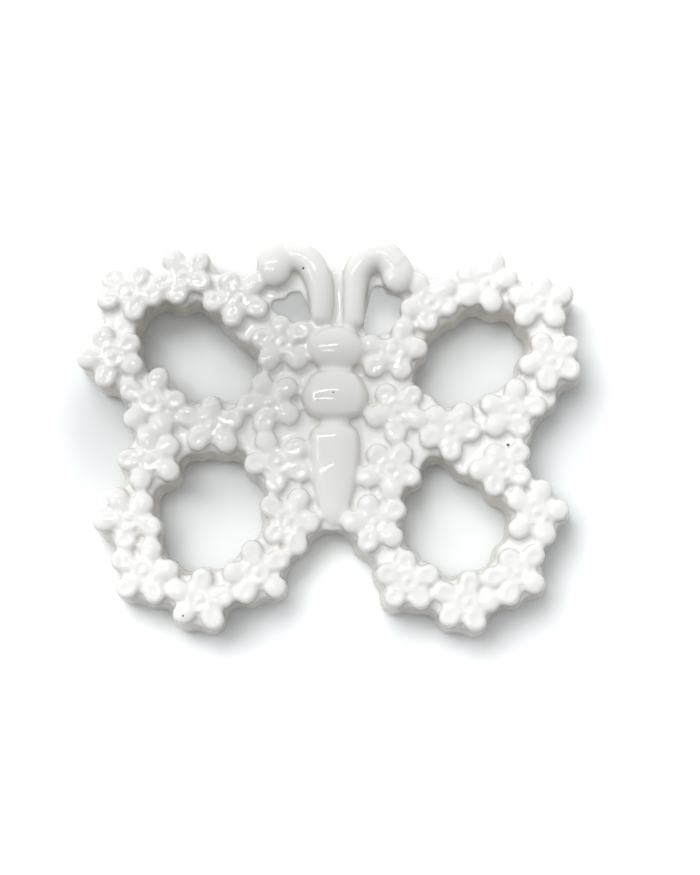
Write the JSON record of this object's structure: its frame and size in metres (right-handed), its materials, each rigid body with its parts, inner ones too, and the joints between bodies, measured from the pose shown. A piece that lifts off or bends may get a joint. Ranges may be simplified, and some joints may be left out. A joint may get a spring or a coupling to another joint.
{
  "type": "butterfly magnet",
  "caption": "Flat butterfly of white glazed ceramic with pierced wings of small raised flowers, a domed body, curled antennae and disc magnets in its back.",
  "frame": {"origin": "centre of the bounding box, on the plane of the magnets' backs", "axes": "+Z out of the butterfly's face, away from what it is stuck to; +Y towards its head; +X to the right as one looks at its face"},
  "size_m": [0.09, 0.0715, 0.0117],
  "materials": {
    "glaze": "clear gloss glaze over white clay, a little bluish where it is thick",
    "ferrite": "dull ground ferrite",
    "adhesive": "clear cured epoxy, slightly yellow"
  },
  "bodies": {
    "root": {"wing_frame": "glaze", "head": "glaze", "thorax": "glaze", "abdomen": "glaze", "left_antenna": "glaze", "right_antenna": "glaze", "left_flower_1": "glaze", "left_flower_2": "glaze", "left_flower_3": "glaze", "left_flower_4": "glaze", "left_flower_5": "glaze", "left_flower_6": "glaze", "left_flower_7": "glaze", "left_flower_8": "glaze", "left_flower_9": "glaze", "left_flower_10": "glaze", "left_flower_11": "glaze", "left_flower_12": "glaze", "left_flower_13": "glaze", "left_flower_14": "glaze", "left_flower_15": "glaze", "right_flower_1": "glaze", "right_flower_2": "glaze", "right_flower_3": "glaze", "right_flower_4": "glaze", "right_flower_5": "glaze", "right_flower_6": "glaze", "right_flower_7": "glaze", "right_flower_8": "glaze", "right_flower_9": "glaze", "right_flower_10": "glaze", "right_flower_11": "glaze", "right_flower_12": "glaze", "right_flower_13": "glaze", "right_flower_14": "glaze", "right_flower_15": "glaze", "upper_magnet": "ferrite", "lower_magnet": "ferrite", "upper_magnet_bed": "adhesive", "lower_magnet_bed": "adhesive"}
  },
  "joints": []
}
